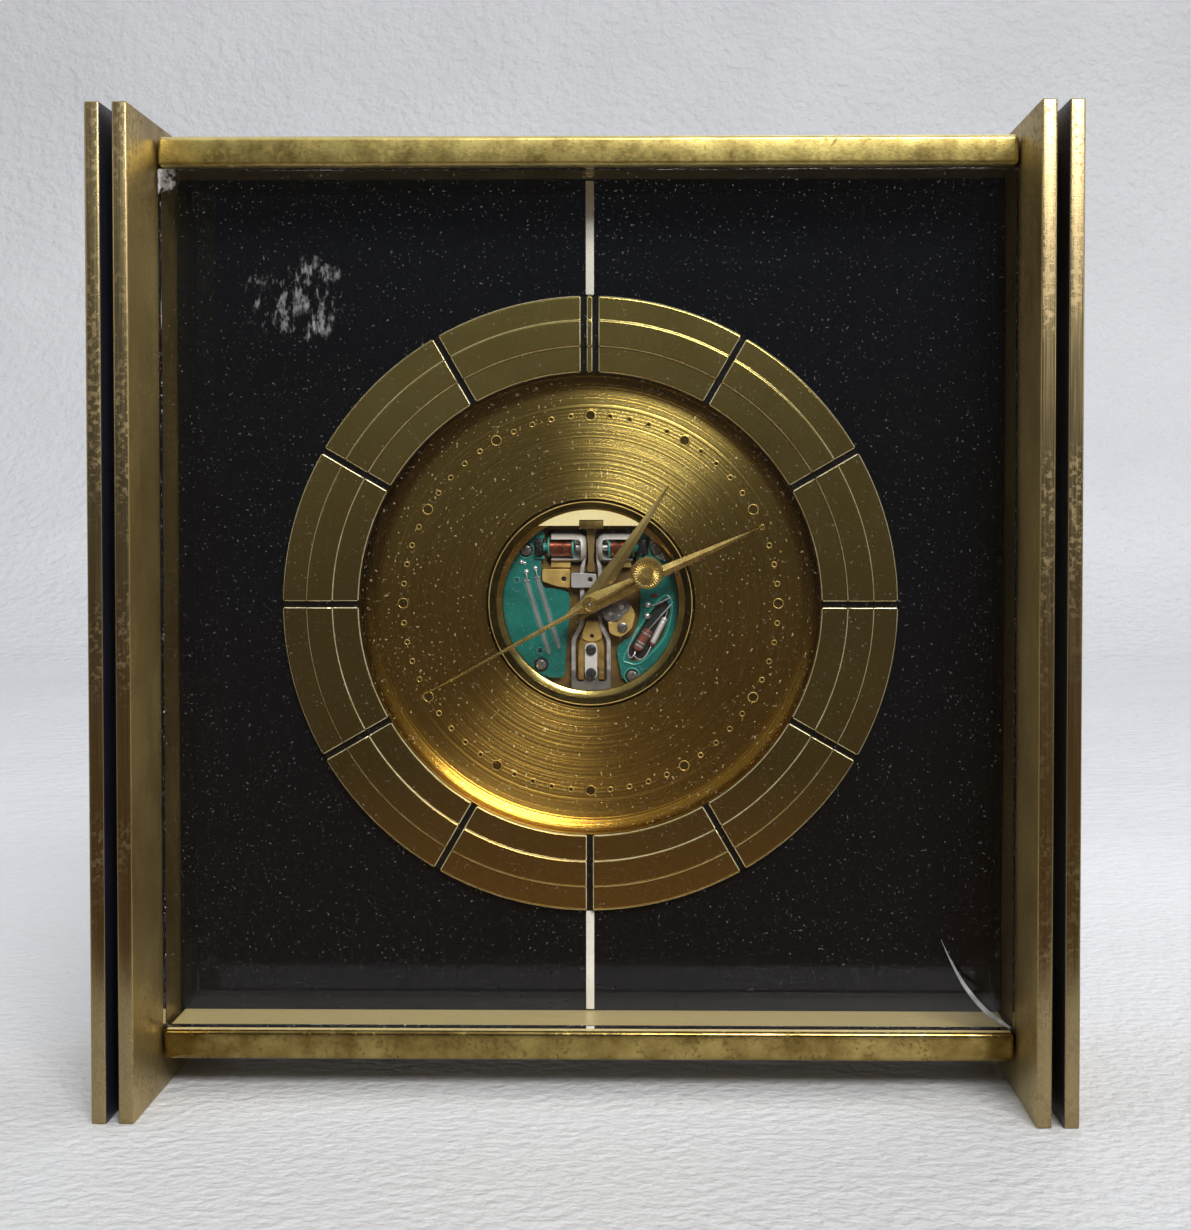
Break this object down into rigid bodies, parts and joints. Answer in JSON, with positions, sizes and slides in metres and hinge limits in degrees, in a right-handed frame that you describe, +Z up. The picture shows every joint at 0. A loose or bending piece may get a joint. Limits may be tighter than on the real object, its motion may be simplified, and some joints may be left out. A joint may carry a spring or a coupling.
{
  "type": "mantel clock",
  "caption": "Square brass mantel clock with double side plates, glazed front, round open dial and a tuning-fork movement.",
  "frame": {"origin": "centre of the footprint, on the surface that the clock stands on", "axes": "+Z up, +Y towards the back, so the dial faces -Y and +X is to the right of someone who reads the dial"},
  "size_m": [0.144, 0.058, 0.1487],
  "materials": {
    "brass": "polished, with small tarnish spots",
    "brushed_brass": "satin, brushed",
    "gilt": "bright gilt",
    "steel": "satin",
    "nickel": "satin nickel plate",
    "black_steel": "black, semi-gloss",
    "glass": "clear, dusty, one scratch",
    "black_lacquer": "glossy black",
    "cream_inlay": "matt cream",
    "green_board": "satin green",
    "copper": "enamelled copper wire",
    "brown_ceramic": "brown with silver bands"
  },
  "bodies": {
    "case": {"aperture_ring": "gilt", "battery_cell": "nickel", "board_screw_lower_left": "steel", "board_screw_lower_right": "steel", "board_screw_upper_left": "steel", "board_screw_upper_right": "steel", "bottom_bar": "brass", "capacitor": "nickel", "centre_bridge": "brushed_brass", "chapter_ring": "brass", "circuit_board_left": "green_board", "circuit_board_right": "green_board", "dial_disc": "brass", "dial_panel": "black_lacquer", "drive_coil_left": "copper", "drive_coil_right": "copper", "fork_block": "gilt", "fork_clamp": "nickel", "fork_screw_lower": "black_steel", "fork_screw_upper": "black_steel", "front_glass": "glass", "magnet_cup_left": "nickel", "magnet_cup_right": "nickel", "main_plate": "gilt", "movement_can": "brushed_brass", "pawl_bridge": "steel", "rear_panel": "black_steel", "resistor": "brown_ceramic", "side_plate_inner_left": "brushed_brass", "side_plate_inner_right": "brushed_brass", "side_plate_outer_left": "brushed_brass", "side_plate_outer_right": "brushed_brass", "stripe_12": "cream_inlay", "stripe_6": "cream_inlay", "stud_bottom_front_left": "brass", "stud_bottom_front_right": "brass", "stud_bottom_rear_left": "brass", "stud_bottom_rear_right": "brass", "stud_top_front_left": "brass", "stud_top_front_right": "brass", "stud_top_rear_left": "brass", "stud_top_rear_right": "brass", "top_bar": "brass", "train_bridge": "gilt", "train_plate": "gilt", "train_plate_screw": "steel", "tuning_fork": "steel", "upper_bridge": "gilt"},
    "minute": {"minute_hand": "brass", "cannon_pinion": "gilt"},
    "hour": {"hour_hand": "brushed_brass", "hour_wheel": "gilt"},
    "motion_wheel": {"minute_wheel": "gilt"},
    "stem": {"setting_stem": "steel"},
    "handle": {"setting_handle": "nickel"},
    "seconds": {"seconds_hand": "brass", "seconds_arbor": "steel"},
    "third": {"third_wheel": "gilt"},
    "index": {"index_wheel": "steel"},
    "hatch": {"battery_hatch": "nickel"}
  },
  "joints": [
    {"name": "minute_turn", "type": "hinge", "parent": "case", "child": "minute", "pos_m": [0, 0, 0.0748], "axis": [0, 1, 0], "continuous": true},
    {"name": "hour_turn", "type": "hinge", "parent": "case", "child": "hour", "pos_m": [0, 0, 0.0748], "axis": [0, 1, 0], "continuous": true},
    {"name": "motion_wheel_turn", "type": "hinge", "parent": "case", "child": "motion_wheel", "pos_m": [0.00218, 0, 0.07407], "axis": [0, 1, 0], "continuous": true},
    {"name": "setting_turn", "type": "hinge", "parent": "case", "child": "stem", "pos_m": [0.00333, 0, 0.07208], "axis": [0, 1, 0], "continuous": true},
    {"name": "handle_fold", "type": "hinge", "parent": "stem", "child": "handle", "pos_m": [0.00333, 0.02092, 0.07208], "axis": [1, 0, 0], "range_deg": [0, 90]},
    {"name": "seconds_turn", "type": "hinge", "parent": "case", "child": "seconds", "pos_m": [0, 0, 0.0748], "axis": [0, 1, 0], "continuous": true},
    {"name": "third_wheel_turn", "type": "hinge", "parent": "case", "child": "third", "pos_m": [0.00221, 0, 0.07665], "axis": [0, 1, 0], "continuous": true},
    {"name": "index_wheel_turn", "type": "hinge", "parent": "case", "child": "index", "pos_m": [0.00283, 0, 0.07897], "axis": [0, 1, 0], "continuous": true},
    {"name": "hatch_turn", "type": "hinge", "parent": "case", "child": "hatch", "pos_m": [-0.00451, 0, 0.08142], "axis": [0, 1, 0], "range_deg": [0, 90]}
  ],
  "couplings": [
    {"joint": "hour_turn", "follows": "minute_turn", "ratio": 0.083333},
    {"joint": "motion_wheel_turn", "follows": "minute_turn", "ratio": -0.33333},
    {"joint": "setting_turn", "follows": "minute_turn", "ratio": 1},
    {"joint": "third_wheel_turn", "follows": "seconds_turn", "ratio": -8},
    {"joint": "index_wheel_turn", "follows": "seconds_turn", "ratio": 72}
  ]
}
